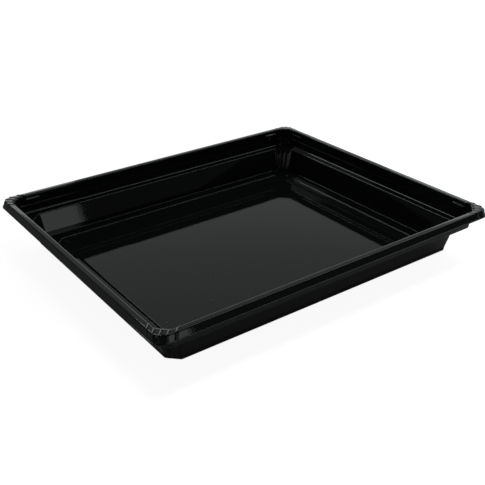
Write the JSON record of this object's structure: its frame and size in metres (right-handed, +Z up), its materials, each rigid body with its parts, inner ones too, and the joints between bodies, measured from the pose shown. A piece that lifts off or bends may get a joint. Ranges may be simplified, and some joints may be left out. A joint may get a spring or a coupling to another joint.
{
  "type": "sushi tray",
  "caption": "Shallow rectangular takeaway food tray formed from thin black plastic sheet, with a stepped wall, a rolled rim and ridged corners.",
  "frame": {"origin": "centre of the base, on the level that the tray stands on", "axes": "+X along the tray's longer side, +Y along its shorter side, +Z up out of the tray"},
  "size_m": [0.2656, 0.225, 0.0342],
  "materials": {
    "black_plastic": "high gloss black formed sheet"
  },
  "bodies": {
    "root": {"tray": "black_plastic"}
  },
  "joints": []
}
